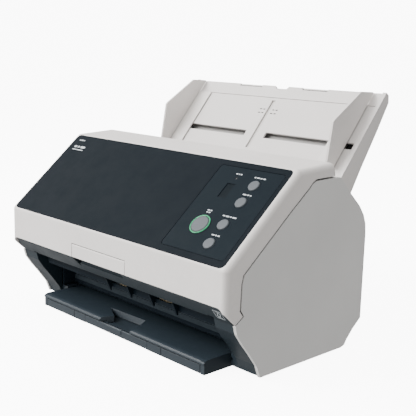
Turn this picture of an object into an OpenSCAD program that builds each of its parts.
// Sheet fed document scanner: base, hinged feeder unit, paper chute and stacker.
// X runs to the right, Y to the back and Z up. Profiles are drawn in the Y-Z plane
// with Y = 0 on the front band, and place() moves the whole to its centre.

/* [Body] */
// Half of the body's width
half_w = 150; // [150:1:152]
// Wall thickness of the moulded shells
wall = 2.6; // [2.4:0.1:2.8]
// Radius of the feeder cover's long edges
edge_r = 5; // [4:0.5:6]
// Height of the rubber feet
foot_h = 2.5; // [2.5:0.1:3]

/* [Feeder unit] */
// Height of the lower edge of the front band
band_low = 65.8; // [65:0.1:67]
// Height of the upper edge of the front band
band_top = 95.7; // [95:0.1:96.5]
// Depth at which the sloping top meets the ridge
ridge_y = 77.8; // [77:0.1:78.5]
// Height of the ridge
ridge_z = 163; // [162.5:0.1:163.5]
// Travel of the push buttons
press = 1; // [0.8:0.1:1.2]

/* [Paper path] */
// Angle of the chute from the level
chute_angle = 50.2; // [50:0.1:50.4]
// Half of the gap between the guides that the sheet passes through
path_gap = 0.9; // [0.8:0.1:1]
// Radius of the bend in the paper path
bend_r = 70; // [69:0.5:71]
// Slope of the path at the exit
exit_angle = 15.2; // [15:0.1:15.4]

/* [Stacker] */
// Half of the stacker's width
stack_w = 115; // [114:0.5:115]
// Depth of the stacker's front edge
stack_y = 13; // [12.5:0.5:13.5]
// Height of the stacker's top
stack_top = 12.4; // [12:0.1:12.4]

/* [Hidden] */
$fn = 48;

white = "#dad7d4";
grey = "#aaaaa8";
slate = "#323b42";
dark = "#20262c";
steel = "#9aa0a4";
rubber_grey = "#3a3d40";
tan_rubber = "#9c8566";

gap = 0.3;
tiny = 0.01;
inner_w = half_w - 3;
frame_x = 130;
frame_t = 1.6;
guide_w = 118;
guide_t = 2;

// Feeder hinge axis, which is also the top rear corner of the steel side frames
hinge_y = 121.5;
hinge_z = 157.5;
hinge_pin_r = 1.5;
fit = 0.05;

// Slope of the top, and the frame of the panels that lie in it
slope_angle = atan2(ridge_z - band_top, ridge_y);
panel_recess = 1.6;

// Chute's origin: the point of its surface at which its open part starts
chute_y = 174.5;
chute_z = 159.3;
chute_dir = [cos(chute_angle), sin(chute_angle)];
chute_nor = [-sin(chute_angle), cos(chute_angle)];

// Extensions of the chute: heights of their blades and the top edge of the second
ext_1_z = [-8.3, -6.8];
ext_2_z = [-10.1, -8.6];
ext_2_top = 75.2;
// Whole depth, from the front band to the back of the chute
depth = chute_y + ext_2_top * chute_dir[0] + ext_2_z[0] * chute_nor[0];

// The path runs straight down the chute, bends forward and goes straight to the exit
bend_s = -85;
bend_start = [chute_y, chute_z] + bend_s * chute_dir;
bend_mid = bend_start + bend_r * chute_nor;
exit_dir = [cos(exit_angle), sin(exit_angle)];
exit_nor = [-sin(exit_angle), cos(exit_angle)];
bend_end = bend_mid - bend_r * exit_nor;
function exit_point(y) = bend_end - (bend_end[0] - y) / exit_dir[0] * exit_dir;
function path_point(s) = [chute_y, chute_z] + s * chute_dir;
bend_steps = 8;
// Points of a line at the height h above the path, from s0 on the chute to y1 at the exit
function path_line(h, s0, y1) = concat(
    [path_point(s0) + h * chute_nor],
    [for (i = [0:bend_steps])
        let (a = chute_angle + (exit_angle - chute_angle) * i / bend_steps)
        bend_mid - (bend_r - h) * [-sin(a), cos(a)]],
    [exit_point(y1) + h * exit_nor]);
function reversed(p) = [for (i = [len(p) - 1:-1:0]) p[i]];

// Rollers: radius and centre, below or above the path
pick_r = 9;
pick_c = path_point(-50) - pick_r * chute_nor;
feed_r = 10;
feed_c = path_point(-80) - feed_r * chute_nor;
brake_r = 9;
brake_c = path_point(-80) + (brake_r + 0.3) * chute_nor;
eject_r = 7;
eject_y = 28;
eject_c = exit_point(eject_y) - eject_r * exit_nor;
idler_r = 5;
idler_c = exit_point(eject_y) + (idler_r + 0.3) * exit_nor;
shaft_r = 3;
pick_tyres = [-18, 18];
feed_tyres = [-34, 34];
eject_tyres = [-55, 0, 55];
fins = [-15, 15, 45, 75];
motor_c = [100, 38];

// Seam between the feeder unit's side walls and the base's side covers
seam = [[124.6, 154.9], [98.3, 154.1], [94.2, 152.2], [89.7, 148.1], [68.3, 131.4],
    [18.1, 89.7], [16.4, 83.3], [15.6, 62], [19.1, 57.2], [11.5, 52.2]];
cover_front = [[0, 62.8], [-9, 62.8], [-9, 180], [124.6, 180]];
// Outline of a side cover, from the rear end of the seam all the way round
side_low = [[129.5, 152.8], [145.8, 136.9], [158.1, 125.8], [164.6, 117.2], [168, 109],
    [169, 100], [169, 24.3], [158.4, 15.9], [150.8, 8.2], [148, 3.9], [143, 2.5],
    [41, 2.5], [36.9, 13.1], [27.6, 25.5], [20.2, 34.5], [13.7, 43.7], [11.6, 50.9]];
side_seam = [[20.6, 56.8], [17.2, 62.4], [17.9, 82.6], [19.6, 88.9], [69.2, 130],
    [90.6, 146.8], [95, 150.8], [98.8, 152.6], [126, 152.9]];
side_outline = concat(side_low, side_seam);

// Side view of the side flange of the chute, as distance up the slope and height
flange = [[-34.5, 0.5], [76, 0.5], [76.4, -4], [71.5, -8.7], [43.7, -12.9], [4.7, -17.5],
    [-18, -21], [-36.2, -22.5]];
plate_t = 3;
slot_s = [12, 18.7];
guide_x = 112;
guide_travel = 70;
pinion_s = 16;
pinion_r = 5;
pinion_teeth = 12;
tooth_pitch = 2 * PI * pinion_r / pinion_teeth;
rack_z = -3.4;
rack_t = 2.6;

// Operator panel: places across, and up the slope from its lower edge
buttons_at = [[117.6, 79.9], [117.1, 61.6], [116, 38.1], [116.2, 18.8]];
button_r = 5.2;
scan_at = [93.9, 33.6];
scan_r = 8;
ring_r = 9.4;

module place() translate([0, -depth / 2, 0]) children();
// A profile drawn in Y-Z, extruded from x0 to x1
module along_x(x0, x1) translate([x0, 0, 0]) rotate([90, 0, 90])
    linear_extrude(x1 - x0) children();
// The same on both sides of the middle
module both_sides() { children(); mirror([1, 0, 0]) children(); }
// A bar along X with its centre at the point c of the Y-Z plane
module rod(c, r, x0, x1) translate([x0, c[0], c[1]]) rotate([0, 90, 0])
    cylinder(r = r, h = x1 - x0);
module box_at(low, high) translate(low) cube(high - low);
module in_chute() translate([0, chute_y, chute_z]) rotate([chute_angle, 0, 0]) children();
// The frame of the sloping top: Y runs up the slope and Z out of it
module in_slope() translate([0, 0, band_top]) rotate([slope_angle, 0, 0]) children();
// The frame of the straight stretch that leads to the exit
module in_exit(y) translate([0, exit_point(y)[0], exit_point(y)[1]])
    rotate([exit_angle, 0, 0]) children();
module rounded_rect(low, high, r) {
    translate([low[0] + r, low[1]]) square([high[0] - low[0] - 2 * r, high[1] - low[1]]);
    translate([low[0], low[1] + r]) square([high[0] - low[0], high[1] - low[1] - 2 * r]);
    for (x = [low[0] + r, high[0] - r], y = [low[1] + r, high[1] - r])
        translate([x, y]) circle(r);
}

// ---- Base ----

tray_floor = 13.4;
channel_x = 116.6;
tongue_z = [7, 9];

// Inner ends of the side covers' rims, where the parts between them stop
rim_x = inner_w - 5;
screw_at = [[112, 84], [112, 138]];
feet_at = [[128, 56], [128, 138]];

module base_tray() color(dark) place() difference() {
    union() {
        box_at([-rim_x + gap, 61.4, tray_floor], [rim_x - gap, 154, tray_floor + 2.2]);
        both_sides() difference() {
            box_at([channel_x, 42, foot_h], [rim_x - gap, 146, tray_floor + tiny]);
            // Hollow of the side channel, closed below
            box_at([channel_x + 3.4, 44.4, foot_h + 2], [rim_x - 2, 143.6, tray_floor - tiny]);
            // Groove that the stacker's tongue slides in
            box_at([channel_x - 1, 41, tongue_z[0] - gap],
                [channel_x + 1.7, 165, tongue_z[1] + gap]);
        }
        // Rear edge, which follows the slope under the rear cover
        along_x(-rim_x + gap, rim_x - gap) polygon([[146, foot_h + 0.4], [150, 8.2], [156, 15.2],
            [154, tray_floor + 2.2], [146, tray_floor + 2.2]]);
        both_sides() for (p = screw_at)
            translate([p[0], p[1], tray_floor + tiny]) cylinder(d = 8, h = 12);
    }
    both_sides() for (p = screw_at)
        translate([p[0], p[1], tray_floor - 1]) cylinder(d = 3, h = 14);
    both_sides() for (p = feet_at)
        translate([p[0], p[1], 0]) cylinder(d = 4.4, h = 8);
}

module side_cover() {
    along_x(inner_w, half_w) polygon(side_outline);
    // Rims that return inwards along the front slope, the bottom and the back
    along_x(rim_x, inner_w + tiny) difference() {
        polygon(side_low);
        translate([2.2, 2.2]) polygon([for (p = side_low) [min(p[0], 164.4), max(p[1], foot_h)]]);
        translate([14, -1]) square([106, 200]);
        polygon([[0, 40], [40, 40], [130, 100], [130, 170], [0, 170]]);
    }
    for (p = [[60, 100], [140, 110], [100, 30], [150, 40]])
        rod(p, 3, inner_w - 3.5, inner_w + tiny);
}
module left_side_cover() color(grey) place() mirror([1, 0, 0]) side_cover();
module right_side_cover() color(grey) place() side_cover();

pillar_in = 126;
module front_pillar() difference() {
    along_x(pillar_in, inner_w - gap) polygon([[12.1, 51.6], [14.2, 43.7], [20.7, 34.5],
        [28.1, 25.5], [37.4, 13.1], [41.5, 4.9], [41.6, foot_h + 0.4], [41.6, 46], [27, 52],
        [20.2, 56], [18.8, 55.9]]);
    rod(eject_c, shaft_r + 0.4, pillar_in - 1, pillar_in + 4);
    // Hollow behind the front skin, where the exit shaft's drive runs
    along_x(pillar_in + 3, inner_w - 2.4) polygon([[14.6, 50.6], [16.9, 44.6], [23, 36],
        [30.2, 27.2], [39.4, 14.8], [42, 8], [42, 60], [20, 60]]);
}
module left_front_pillar() color(dark) place() mirror([1, 0, 0]) front_pillar();
module right_front_pillar() color(dark) place() front_pillar();

// Ledge across the back of the stacker's bay, set in the liner's wall
ledge_low = 23.4;
ledge_top = 31.2;
cheek_t = 2;
module exit_ledge() color(slate) place()
    along_x(-pillar_in + cheek_t + gap, pillar_in - cheek_t - gap) polygon([[55.6, ledge_low],
        [57, ledge_top - 0.8], [57.6, ledge_top], [58.8, ledge_top], [58.8, ledge_low]]);

apron_low = 41.8;
// Windows in the apron, in front of the middle and right exit tyres
window_x = [[-14, 14], [46, 74]];
module exit_comb() color(dark) place() difference() {
    union() {
        along_x(-pillar_in + gap, pillar_in - gap) polygon([[37.2, 40], [37.2, 55.4],
            [39.4, 56], [39.4, 40]]);
        for (x = fins)
            along_x(x - 1, x + 1) polygon([[14.2, 49.7], [37.6, 56.1], [37.6, 49], [24, 44],
                [20.6, 44], [20.2, 38.6], [19.2, 38.6]]);
        // Apron that closes the slot below the exit, and the ribs behind it
        box_at([-118, 20.9, apron_low], [118, 22.5, 49.8]);
        for (x = [-118, -80, 105, 118])
            along_x(x - 0.8, x + 0.8) polygon([[21, 50.2], [37.6, 55], [37.6, 46], [21, 44]]);
    }
    for (w = window_x)
        box_at([w[0], 20, 45.4], [w[1], 23, 50]);
    rod(eject_c, shaft_r + 0.4, -half_w, half_w);
}

// Roof, back wall and cheeks of the stacker's bay
liner_low = 13.9;
module bay_liner() color(dark) place() {
    along_x(-pillar_in + gap, pillar_in - gap) polygon([[37.4, 37.6], [37.4, 39.6], [40, 39.6],
        [61, 36], [61, liner_low], [56.4, liner_low], [56.4, ledge_low - gap],
        [59.2, ledge_low - gap], [59.2, 33.9]]);
    both_sides() along_x(pillar_in - cheek_t, pillar_in - gap) polygon([[42.2, liner_low],
        [42.2, 37], [60, 34], [60, liner_low]]);
}

// The lower guide follows the path, with a window for each tyre
module lower_paper_guide() color(dark) place() difference() {
    along_x(-guide_w, guide_w)
        polygon(concat(path_line(-path_gap, -38, 40.2),
            reversed(path_line(-path_gap - guide_t, -39, 40.2))));
    for (x = pick_tyres)
        translate([x - 8, 0, 0]) along_x(0, 16) translate(pick_c) circle(pick_r + 0.8);
    for (x = feed_tyres)
        translate([x - 9, 0, 0]) along_x(0, 18) translate(feed_c) circle(feed_r + 0.8);
    in_exit(80) box_at([-110, -22, -6], [110, -9, 6]);
}

module lower_sensor_housing() color(dark) place() in_exit(80) difference() {
    box_at([-114, -26, -21], [114, -5, -3.1]);
    box_at([-108, -22, -19], [108, -9, 0]);
}
module lower_glass() color("#5f7f86") place() in_exit(80)
    box_at([-109.7, -21.7, -3], [109.7, -9.3, -1]);

// Steel plate on each side, between which the rollers run
frame_side = [[40.6, 17], [40.6, 53], [44, 60], [72, 74], [98, 84], [112, 104], [116, 130],
    [117.8, hinge_z], [119, 160], [123.6, 160], [125, 157.5], [125, 149.6],
    [139, 135.6], [151.5, 123], [158, 111], [158, 17]];
tie_at = [[60, 39.3], [140, 60], [150, 100]];
module side_frame() difference() {
    along_x(frame_x, frame_x + frame_t) union() {
        polygon(frame_side);
        // Arm that carries the exit shaft
        polygon([[23, 42.5], [24, 54.5], [42, 58], [42, 42]]);
    }
    for (c = [pick_c, feed_c, eject_c])
        rod(c, shaft_r + fit, 0, half_w);
    rod([hinge_y, hinge_z], hinge_pin_r, 0, half_w);
    rod(motor_c, 6, 0, half_w);
    for (c = tie_at)
        rod(c, 2, 0, half_w);
}
module left_side_frame() color(steel) place() mirror([1, 0, 0]) side_frame();
module right_side_frame() color(steel) place() side_frame();
module frame_tie_bars() color(steel) place() for (c = tie_at) {
    rod(c, 3, -frame_x, frame_x);
    both_sides() rod(c, 2, frame_x - tiny, frame_x + frame_t + 0.5);
}
arm_x = [132.2, 135];
module hinge_pins() color(steel) place() both_sides() {
    rod([hinge_y, hinge_z], hinge_pin_r, frame_x - 1, arm_x[1] + 1);
    rod([hinge_y, hinge_z], 2.6, frame_x - 2, frame_x - gap);
}
striker_c = [27, 63];
module latch_strikers() color(steel) place() both_sides() {
    rod(striker_c, 1.5, 121.5, frame_x);
    along_x(frame_x - 0.9, frame_x) polygon([[40.6, 46], [40.6, 58], [29.5, 65.2],
        [25.5, 66], [24.6, 62], [31, 58.6], [34, 54], [34, 46]]);
}

module control_board() color("#2f6b45") place() {
    box_at([-108, 78, 27.6], [70, 149.6, 29.2]);
    for (p = [[-80, 100, 18, 18], [-40, 110, 14, 14], [-10, 95, 10, 16], [30, 120, 22, 12]])
        box_at([p[0], p[1], 29.2], [p[0] + p[2], p[1] + p[3], 31.4]);
    for (x = [-60 : 14 : 40])
        translate([x, 90, 29.2]) cylinder(d = 5, h = 6);
    for (x = [-104, 66], y = [82, 145])
        translate([x, y, tray_floor + 2.2]) cylinder(d = 5, h = 12);
}

// Ports in the rear panel, by their middles along X
port_z = 33;
dc_x = 62;
usb_x = 30;
lan_x = 0;
module rear_cover() color(grey) place() difference() {
    union() {
        along_x(-inner_w + gap, inner_w - gap) polygon([[145.8, 136.9], [158.1, 125.8],
            [164.6, 117.2], [168, 109], [169, 100], [169, 24.3], [158.4, 15.9], [157, 18.2],
            [166.6, 25.7], [166.6, 99.6], [165.7, 108.2], [162.6, 115.8], [156.4, 124],
            [145.8, 133.5]]);
        // Shoulders beside the paper's way in
        both_sides() along_x(guide_w + 1.2, inner_w - gap) polygon([[127.4, 152.6], [129.5, 152.6],
            [146, 136.8], [146, 133.4], [128.6, 150], [127.4, 150]]);
    }
    // Slots for the chute's legs, and the ends that the side covers' rims close
    both_sides() box_at([120.6, 150, 100], [125.4, 175, 150]);
    both_sides() box_at([rim_x - gap, 120, 0], [half_w, 175, 113]);
    box_at([-guide_w, 130, 122], [guide_w, 170, 150]);
    box_at([dc_x - 6, 160, port_z - 6], [dc_x + 6, 172, port_z + 6]);
    box_at([usb_x - 7.2, 160, port_z - 7], [usb_x + 7.2, 172, port_z + 7]);
    box_at([lan_x - 8.7, 160, port_z - 7.7], [lan_x + 8.7, 172, port_z + 7.7]);
    // Ventilation slots and the security slot
    for (x = [-120 : 7 : -50])
        box_at([x, 160, 40], [x + 3, 172, 74]);
    box_at([110, 160, 34], [117, 172, 37.4]);
}
module dc_inlet() color("#17191b") place() {
    difference() {
        box_at([dc_x - 5.7, 155, port_z - 5.7], [dc_x + 5.7, 168.4, port_z + 5.7]);
        translate([dc_x, 158, port_z]) rotate([-90, 0, 0]) cylinder(r = 3.2, h = 14);
    }
    translate([dc_x, 157, port_z]) rotate([-90, 0, 0]) cylinder(r = 1, h = 9);
}
module usb_port() color("#c2c5c8") place() {
    difference() {
        box_at([usb_x - 6.8, 152, port_z - 6.2], [usb_x + 6.8, 168.4, port_z + 6.2]);
        box_at([usb_x - 4.2, 156, port_z - 3.8], [usb_x + 4.2, 170, port_z + 3.8]);
    }
    box_at([usb_x - 2.8, 155, port_z - 1], [usb_x + 2.8, 166, port_z + 1]);
}
module lan_port() color("#c2c5c8") place() difference() {
    box_at([lan_x - 8.2, 150, port_z - 7.2], [lan_x + 8.2, 168.4, port_z + 7.2]);
    box_at([lan_x - 5.9, 155, port_z - 5], [lan_x + 5.9, 170, port_z + 3]);
    box_at([lan_x - 3, 155, port_z - 6.4], [lan_x + 3, 170, port_z - 4]);
}

// ---- Drive ----

motor_r = 17;
module drive_motor() color("#5b6166") place() {
    rod(motor_c, motor_r, 96, frame_x - 3);
    rod(motor_c, 5.8, frame_x - 3 - tiny, frame_x + frame_t);
    rod(motor_c, 2, frame_x, belt_x[0] + 3);
    difference() {
        along_x(frame_x - 3, frame_x - tiny) translate(motor_c) square([46, 30], center = true);
        for (y = [-19, 19])
            rod(motor_c + [y, 0], 1.6, 100, 140);
    }
}
pulley_r = 6;
belt_half = 1.9;
// Planes of the main belt and of the pick roller's belt
belt_x = [135, 140];
module pulley(c, bore, x) difference() {
    union() {
        rod(c, pulley_r, x - 2.6, x + 2.4);
        for (side = [-2.6, 1.6 + 0.6])
            rod(c, pulley_r + 1.2, x + side, x + side + 0.4);
    }
    rod(c, bore, x - 4, x + 4);
}
module motor_pulley() color("#d8d8d2") place() pulley(motor_c, 2 + fit, belt_x[0]);

// Flat belts, one round the motor, exit and feed pulleys and one up to the pick roller
belt_gap = 0.15;
belt_t = 0.9;
module belt_line(r, centres) hull() for (c = centres) translate(c) circle(r);
module belt(x, centres) along_x(x - belt_half, x + belt_half) difference() {
    belt_line(pulley_r + belt_gap + belt_t, centres);
    belt_line(pulley_r + belt_gap, centres);
}
module drive_belts() color("#1c1d1f") place() {
    belt(belt_x[0], [motor_c, eject_c, feed_c]);
    belt(belt_x[1], [feed_c, pick_c]);
}

// Shaft with tyres and pulleys, with running ends in both side frames
module driven_roller(c, r, tyres, tyre_w, pulleys) place() {
    rod(c, shaft_r, -frame_x - frame_t - 2, max([for (i = pulleys) belt_x[i]]) + 3.4);
    for (x = tyres) {
        rod(c, r, x - tyre_w / 2, x + tyre_w / 2);
        rod(c, shaft_r + 1.4, x - tyre_w / 2 - 0.6, x + tyre_w / 2 + 0.6);
    }
    for (i = pulleys)
        pulley(c, shaft_r - tiny, belt_x[i]);
}
module pick_roller() color(rubber_grey) driven_roller(pick_c, pick_r, pick_tyres, 14, [1]);
module feed_roller() color(rubber_grey) driven_roller(feed_c, feed_r, feed_tyres, 16, [0, 1]);
module eject_roller() color(tan_rubber) driven_roller(eject_c, eject_r, eject_tyres, 16, [0]);

module rubber_feet() color("#1b1c1e") place() both_sides() for (p = feet_at)
    translate([p[0], p[1], 0]) {
        cylinder(r1 = 6.2, r2 = 7, h = foot_h);
        cylinder(d = 4.4, h = 6);
    }
module case_screws() color("#b0b3b6") place() both_sides() for (p = screw_at)
    translate([p[0], p[1], tray_floor - 0.6]) {
        cylinder(d = 6, h = 0.6);
        cylinder(d = 3, h = 11);
    }

// ---- Chute ----

pin_len = 3.4;
module chute_plate() color(white) place() {
    in_chute() difference() {
        union() {
            box_at([-121, -36, -plate_t], [121, 60, 0]);
            both_sides() along_x(121, 125) polygon(flange);
            translate([0, pinion_s, -plate_t - pin_len]) cylinder(r = 1.5, h = pin_len + 1);
        }
        both_sides() box_at([13, slot_s[0], -9], [119.5, slot_s[1], 1]);
        box_at([-2.3, -1, -1.6], [2.3, 57, 1]);
        // Marks of the guides' click stops
        both_sides() for (x = [6, 10.5], s = [40.6, 45])
            box_at([x - 1.5, s, -1.2], [x + 1.5, s + 1.2, 1]);
    }
    // Legs that carry the chute on the steel side frames
    both_sides() in_chute() {
        along_x(121, 125) polygon([[-34, -12.5], [-46, -13.5], [-53, -13.5], [-53, -20.5],
            [-34, -20.5]]);
        rod([-50, -17], 2.5, 124, frame_x - tiny);
    }
}
module chute_back_cover() color(grey) place() in_chute() difference() {
    along_x(-120.7, 120.7) polygon([[-20, -21.9], [4.7, -17.5], [43.7, -12.9], [46, -12.6],
        [46, -10.9], [43.7, -11.2], [4.7, -15.8], [-18.4, -19.8], [-18.4, -3.3], [-20, -3.3]]);
    box_at([-60, -30, -19.7], [60, -10, -4.4]);
}

tooth_w = 0.36 * tooth_pitch;
module tooth_profile() polygon([[-tooth_w / 2 - 0.25, -0.9], [-tooth_w / 2, 0],
    [-tooth_w / 2 + 0.16, 0.5], [tooth_w / 2 - 0.16, 0.5], [tooth_w / 2, 0],
    [tooth_w / 2 + 0.25, -0.9]]);
module guide_pinion() color("#d8d8d2") place() in_chute()
    translate([0, pinion_s, rack_z - rack_t]) difference() {
        linear_extrude(rack_t) union() {
            circle(pinion_r - 0.8);
            for (i = [0 : pinion_teeth - 1])
                rotate(90 + i * 360 / pinion_teeth) translate([0, pinion_r]) tooth_profile();
        }
        translate([0, 0, -1]) cylinder(r = 1.5 + fit, h = rack_t + 2);
    }
rack_teeth = floor((guide_travel + 8) / tooth_pitch);
// The right guide's rack, whose teeth meet the pinion from below
module guide_rack() {
    box_at([-4, pinion_s - pinion_r - 3.6, rack_z - rack_t], [104, pinion_s - pinion_r - 0.8, rack_z]);
    translate([0, pinion_s - pinion_r, rack_z - rack_t]) linear_extrude(rack_t)
        for (i = [-1 : rack_teeth])
            translate([(i + 0.5) * tooth_pitch, 0]) tooth_profile();
}
module paper_guide(rack_side) {
    along_x(guide_x - 2, guide_x + 0.4) polygon([[-9, 1.1], [-11, 2.4], [-11, 12], [19.6, 29.8],
        [22, 29.6], [63.5, 16.4], [74, 2.6], [74, 1.1]]);
    box_at([92, -9, 0.4], [guide_x - 1, 59.5, 1.8]);
    box_at([96, slot_s[0] + 0.5, rack_z - rack_t], [103, slot_s[1] - 0.5, 0.5]);
    if (rack_side > 0) guide_rack();
    else translate([0, 2 * pinion_s, 0]) mirror([0, 1, 0]) guide_rack();
}
module right_paper_guide() color(white) place() in_chute() paper_guide(1);
module left_paper_guide() color(white) place() in_chute() mirror([1, 0, 0]) paper_guide(-1);

module chute_extension_1() color(white) place() in_chute() difference() {
    union() {
        box_at([-116, -12, ext_1_z[0]], [116, 61, ext_1_z[1]]);
        box_at([-120.7, 61.1, ext_1_z[0]], [120.7, 75.6, -0.6]);
        for (x = [-90, 0, 90])
            box_at([x - 1, 28, ext_1_z[0]], [x + 1, 60.4, -3.6]);
    }
    // Finger notch in the top edge and the pocket of the second extension
    translate([-0.5, 75.7, -9]) linear_extrude(10)
        polygon([[-9.5, 1], [-7, -3.2], [7, -3.2], [9.5, 1]]);
    box_at([-58, 70, -9], [58, 76, -4.6]);
    both_sides() box_at([27.2, 72.8, -5], [58.2, 76, 0]);
}
module chute_extension_2() color(white) place() in_chute() union() {
    box_at([-56, -6, ext_2_z[0]], [56, ext_2_top, ext_2_z[1]]);
    box_at([-57.4, 70.4, ext_2_z[0]], [57.4, ext_2_top, -5]);
    both_sides() box_at([28.1, 73.7, -5.1], [57.3, ext_2_top, -0.8]);
}

// ---- Feeder unit ----

cover_side = [[0, 40], [0, band_top], [ridge_y, ridge_z], [119, 165.4], [122.5, 164],
    [125.2, 156.5], [125.2, 120], [60, 40]];
module cover_form(r) minkowski() {
    along_x(-half_w + edge_r, half_w - edge_r) offset(delta = -edge_r) polygon(cover_side);
    sphere(r, $fn = 32);
}
band_corner_r = 6;
panel_x = 145.4;
panel_s = [0.9, 101.6];
op_x = [69, 142];
op_s = [7, 97.6];
tab_x = [-47, 30];
tab_c = [1.6, 76.4];
tab_t = 1.6;
tab_pin = 0.9;
tab_gap = 0.5;

module feeder_cover() color(white) place() difference() {
    intersection() {
        cover_form(edge_r);
        along_x(-half_w, half_w) polygon(concat(seam, cover_front));
    }
    cover_form(edge_r - wall);
    // Open below the front band, which curves down into the side walls
    translate([0, 60, 0]) rotate([90, 0, 0]) linear_extrude(61)
        rounded_rect([-half_w + wall, 30], [half_w - wall, band_low], band_corner_r);
    in_slope() translate([0, 0, -panel_recess - 0.1]) linear_extrude(4)
        rounded_rect([-panel_x - 0.2, panel_s[0] - 0.2], [panel_x + 0.2, panel_s[1] + 0.2], 5);
    in_slope() box_at([op_x[0] + 4, op_s[0] + 4, -8], [op_x[1] - 4, op_s[1] - 5, 1]);
    box_at([tab_x[0] - tab_gap, -1, 60], [tab_x[1] + tab_gap, 10, tab_c[1] + tab_t + tab_gap]);
    rod(tab_c, tab_pin + fit, tab_x[0] - 2, tab_x[1] + 2);
    both_sides() box_at([frame_x - 4.4, 116, 150], [arm_x[1] + 1.4, 130, 162]);
}

module top_panel() color(slate) place() in_slope() difference() {
    translate([0, 0, -panel_recess]) linear_extrude(panel_recess - 0.1)
        rounded_rect([-panel_x, panel_s[0]], [panel_x, panel_s[1]], 4.8);
    translate([0, 0, -3]) linear_extrude(4)
        rounded_rect([op_x[0], op_s[0]], [op_x[1] - 1, op_s[1] - 1.6], 3);
}

window_low = [89.7, 62.8];
window_high = [98.3, 78.1];
lamp_at = [94.7, 84.4];
lamp_r = 1.2;
module operator_panel() color("#2f383d") place() in_slope() difference() {
    translate([0, 0, -panel_recess]) linear_extrude(panel_recess - 0.2)
        rounded_rect([op_x[0] + 0.4, op_s[0] + 0.4], [op_x[1] - 1.4, op_s[1] - 2], 2.6);
    translate([window_low[0], window_low[1], -3]) cube([8.6, 15.3, 4]);
    translate([lamp_at[0], lamp_at[1], -3]) cylinder(r = lamp_r, h = 4);
    for (p = buttons_at)
        translate([p[0], p[1], -3]) cylinder(r = button_r + gap, h = 4);
    translate([scan_at[0], scan_at[1], -3]) cylinder(r = ring_r, h = 4);
}
module display_window() color("#2a343a") place() in_slope()
    box_at([window_low[0], window_low[1], -2.6], [window_high[0], window_high[1], -0.6]);
module check_lamp() color("#c8742a") place() in_slope()
    translate([lamp_at[0], lamp_at[1], -4]) cylinder(r = lamp_r, h = 3.7);
module operator_board() color("#2f6b45") place() in_slope() {
    box_at([op_x[0] + 5, op_s[0] + 5, -10.4], [op_x[1] - 6, op_s[1] - 7, -9]);
    for (p = concat(buttons_at, [scan_at]))
        translate([p[0], p[1], -9]) {
            box_at([-3, -3, -tiny], [3, 3, 1.4]);
            cylinder(r = 1.6, h = 2);
        }
    box_at([window_low[0] - 1, window_low[1] - 1, -9], [window_high[0] + 1, window_high[1] + 1, -2.7]);
}
module scan_ring() color("#5faf87") place() in_slope() translate([scan_at[0], scan_at[1], -5])
    difference() {
        cylinder(r = ring_r - 0.02, h = 5.4);
        translate([0, 0, -1]) cylinder(r = scan_r + gap, h = 8);
        translate([0, 0, -1]) cylinder(r = scan_r + 0.9, h = 3.6);
    }

// Push button: cap, retaining flange below the panel and stem over its switch
module push_button(at, r, flange_r) place() in_slope() translate([at[0], at[1], 0]) {
    rotate_extrude() polygon([[0, -3.6], [r, -3.6], [r, 0.3], [r - 0.6, 0.8], [0, 0.95]]);
    translate([0, 0, -4.6]) cylinder(r = flange_r, h = 1.2);
    translate([0, 0, -7 + press + 0.15]) cylinder(r = 1.8, h = 2);
}
module scan_button() color("#8e9194") push_button(scan_at, scan_r, scan_r + 0.5);
module function_button() color("#8e9194") push_button(buttons_at[0], button_r, button_r + 1.4);
module send_button() color("#8e9194") push_button(buttons_at[1], button_r, button_r + 1.4);
module feed_mode_button() color("#8e9194") push_button(buttons_at[2], button_r, button_r + 1.4);
module power_button() color("#8e9194") push_button(buttons_at[3], button_r, button_r + 1.4);

cheek_x = [116, 118];
latch_c = [22, 78];
latch_r = 2;
bars = [[56, 100], [92, 130]];
module upper_paper_guide() color(dark) place() difference() {
    union() {
        along_x(-cheek_x[1], cheek_x[1])
            polygon(concat(path_line(path_gap + guide_t, -49, 21), reversed(path_line(path_gap, -48, 20))));
        both_sides() along_x(cheek_x[0], cheek_x[1])
            polygon(concat(path_line(1, -48, 20), [[19.2, 60], [19.2, 84], [60, 121], [100, 154],
                [116, 154]]));
        for (c = bars)
            rod(c, 3, -cheek_x[0], cheek_x[0]);
    }
    rod(brake_c, brake_r + 0.8, -12, 12);
    for (x = eject_tyres)
        rod(idler_c, idler_r + 0.7, x - 8, x + 8);
    in_exit(80) box_at([-110, -42, -2], [110, -29, 9]);
    rod(brake_c, shaft_r + fit, -half_w, half_w);
    rod(idler_c, 1.8 + fit, -half_w, half_w);
    rod(latch_c, latch_r + fit, -half_w, half_w);
}
module upper_sensor_housing() color(dark) place() in_exit(80) difference() {
    box_at([-114, -46, 3.1], [114, -25, 17]);
    box_at([-108, -42, -1], [108, -29, 15]);
}
module upper_glass() color("#5f7f86") place() in_exit(80)
    box_at([-109.7, -41.7, 1], [109.7, -29.3, 3]);

// Steel arms that carry the feeder unit on the hinge pins
module hinge_arms() color(steel) place() {
    both_sides() difference() {
        union() {
            along_x(arm_x[0], arm_x[1]) polygon([[24, 72], [24, 84], [60, 116], [98, 149],
                [118, 160], [121, 152], [100, 138], [60, 98]]);
            rod([hinge_y, hinge_z], 3.2, arm_x[0], arm_x[1]);
        }
        rod([hinge_y, hinge_z], hinge_pin_r + fit, half_w / 2, half_w);
    }
    both_sides() for (c = bars)
        rod(c, 3, cheek_x[1], arm_x[0] + tiny);
}

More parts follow.
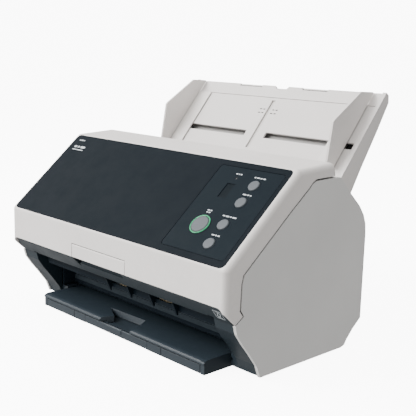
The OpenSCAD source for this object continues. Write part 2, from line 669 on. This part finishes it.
lip_end = 142.8;
module exit_lip() color(slate) place() difference() {
    union() {
        along_x(-lip_end, lip_end) polygon([[0.9, 64.6], [10.8, 52.2], [13.4, 52.6],
            [18.9, 58.1], [18.9, 61], [12, 70], [2.9, 70], [2.9, 65.5], [1.4, 65.5]]);
        both_sides() along_x(lip_end - tiny, inner_w - gap) polygon([[5.2, 59.2],
            [10.8, 52.2], [13.4, 52.6], [18.9, 58.1], [18.9, 61], [12, 68], [5.2, 68]]);
    }
    // Room for the latch hooks and for the release tab's fingers
    both_sides() box_at([120.8, 10, 50], [127.2, 30, 72]);
    box_at([tab_x[0] - 1, -1, 65.2], [tab_x[1] + 1, 9, 80]);
    box_at([tab_x[0] + 6, -1, 61], [tab_x[1] - 6, 5.2, 80]);
    // Three-cornered pocket at the left end of the tab
    translate([0, 9, 0]) rotate([90, 0, 0]) linear_extrude(10)
        polygon([[tab_x[0] - 1, 66], [tab_x[0] + 10, 66], [tab_x[0] + 5.5, 57]]);
}

module release_tab() color(white) place() {
    along_x(tab_x[0], tab_x[1]) union() {
        translate(tab_c) circle(tab_t);
        translate([0, band_low]) square([2.2, tab_c[1] - band_low]);
    }
    rod(tab_c, tab_pin, tab_x[0] - 1.6, tab_x[1] + 1.6);
    along_x(-30, 14) polygon([[0.4, band_low + 0.3], [2.2, band_low + 0.3], [4.2, 65.8],
        [4.2, 67.6], [2.2, 68.6]]);
}

module latch_shaft() color(steel) place() {
    rod(latch_c, latch_r, -127, 127);
    both_sides() along_x(122.4, 125.6) difference() {
        union() {
            translate(latch_c) circle(4.2);
            polygon([[19.6, 78], [24.4, 78], [22.9, 62.4], [25.1, 61], [24.6, 59.4],
                [21.4, 58.6], [19.8, 60.2]]);
        }
        translate(latch_c) circle(latch_r - tiny);
    }
    along_x(-11, -6) polygon([[22, 80], [20, 75], [11, 74.4], [10.4, 76.4]]);
}

module brake_roller() color(rubber_grey) place() {
    rod(brake_c, shaft_r, -120, 120);
    for (x = [-5.5, 5.5])
        rod(brake_c, brake_r, x - 4.6, x + 4.6);
}
module idler_rollers() color(tan_rubber) place() {
    rod(idler_c, 1.8, -120, 120);
    for (x = eject_tyres)
        rod(idler_c, idler_r, x - 7, x + 7);
}

// ---- Stacker ----

stack_back = 138;
tray_low = 7;
// Underside of the rounded front edge
curl_low = 8.6;
// Finger notch in the front edge, with walls that slope outwards
notch = [[-23, 12], [-16, 24], [-36, 35], [9, 36.5], [15.5, 26], [19.5, 12]];
notch_mid = [-10, 12];
notch_flare = 1.1;
module stacker() color(dark) place() difference() {
    union() {
        along_x(-stack_w, stack_w) polygon([[stack_y + 1, curl_low], [stack_y + 0.1, 9.2],
            [stack_y + 0.4, 10.3], [stack_y + 1.6, 11.4], [stack_y + 3.6, 12.1],
            [stack_y + 6.4, stack_top], [stack_back, stack_top], [stack_back, tray_low + 3.6],
            [stack_y + 6, tray_low + 3.2], [stack_y + 5, curl_low]]);
        // Thick part round the notch
        box_at([-44, stack_y + 5.6, tray_low + 0.2], [24, 42, stack_top - 1]);
        both_sides() {
            // Cheeks that the extension slides between, and the tongue in the base's groove
            box_at([stack_w - 4.6, stack_y + 1, 0.4], [stack_w, stack_back, stack_top - 1.2]);
            box_at([stack_w - 1, 46, tongue_z[0]], [stack_w + 2.9, stack_back, tongue_z[1]]);
            box_at([stack_w - 7, 30, 0.5], [stack_w - 4, stack_back, 2]);
        }
    }
    translate([notch_mid[0], notch_mid[1], tray_low - tiny])
        linear_extrude(stack_top - tray_low + 2 * tiny, scale = notch_flare)
            translate(-notch_mid) polygon(notch);
}

ext_w = 109.8;
ext_top = 6.6;
ext_back = 134;
stop_x = [-46.3, 43.5];
stop_c = [stack_y + 1.9, 6.6];
stop_pin = 0.8;
module stacker_extension() color(slate) place() difference() {
    union() {
        box_at([-ext_w, stack_y + 4, ext_top - 2], [ext_w, ext_back, ext_top]);
        along_x(-ext_w, ext_w) polygon([[stack_y + 1, 0.6], [stack_y + 0.8, 7.6],
            [stack_y + 1.5, 8.2], [stack_y + 4.4, 8.2], [stack_y + 4.8, ext_top],
            [stack_y + 5.4, ext_top], [stack_y + 5.4, 0.6]]);
        both_sides() box_at([ext_w - 2.6, stack_y + 1, 2.3], [ext_w, ext_back, ext_top]);
    }
    // Well of the stopper, with its pivot holes, and the outer grooves
    box_at([stop_x[0] - gap, stack_y, 0], [stop_x[1] + gap, stack_y + 3.6, 9]);
    rod(stop_c, stop_pin + fit, stop_x[0] - 3, stop_x[1] + 3);
    for (x = [-64.1, 62.2])
        box_at([x - 0.35, stack_y, 0.8], [x + 0.35, stack_y + 1.7, 9]);
}
module stacker_stopper() color(slate) place() {
    along_x(stop_x[0], stop_x[1]) polygon([[stack_y + 1, 0.9], [stack_y + 0.8, 7.4],
        [stack_y + 1.5, 8], [stack_y + 2.8, 7.6], [stack_y + 2.9, 5.2], [stack_y + 2.2, 4.6],
        [stack_y + 2.2, 0.9]]);
    rod(stop_c, stop_pin, stop_x[0] - 2.6, stop_x[1] + 2.6);
    // Finger tab in the stacker's notch
    along_x(-13.2, 8) polygon([[stack_y + 0.3, 4], [stack_y + 0.3, 7.4], [stack_y + 1.2, 8.3],
        [stack_y + 1.2, 4]]);
}

base_tray();
left_side_cover();
right_side_cover();
rear_cover();
left_front_pillar();
right_front_pillar();
exit_ledge();
exit_comb();
bay_liner();
lower_paper_guide();
lower_sensor_housing();
lower_glass();
left_side_frame();
right_side_frame();
frame_tie_bars();
hinge_pins();
latch_strikers();
control_board();
dc_inlet();
usb_port();
lan_port();
drive_motor();
motor_pulley();
drive_belts();
pick_roller();
feed_roller();
eject_roller();
rubber_feet();
case_screws();
chute_plate();
chute_back_cover();
left_paper_guide();
right_paper_guide();
guide_pinion();
chute_extension_1();
chute_extension_2();
feeder_cover();
top_panel();
operator_panel();
display_window();
check_lamp();
operator_board();
scan_ring();
scan_button();
function_button();
send_button();
feed_mode_button();
power_button();
upper_paper_guide();
upper_sensor_housing();
upper_glass();
hinge_arms();
exit_lip();
release_tab();
latch_shaft();
brake_roller();
idler_rollers();
stacker();
stacker_extension();
stacker_stopper();
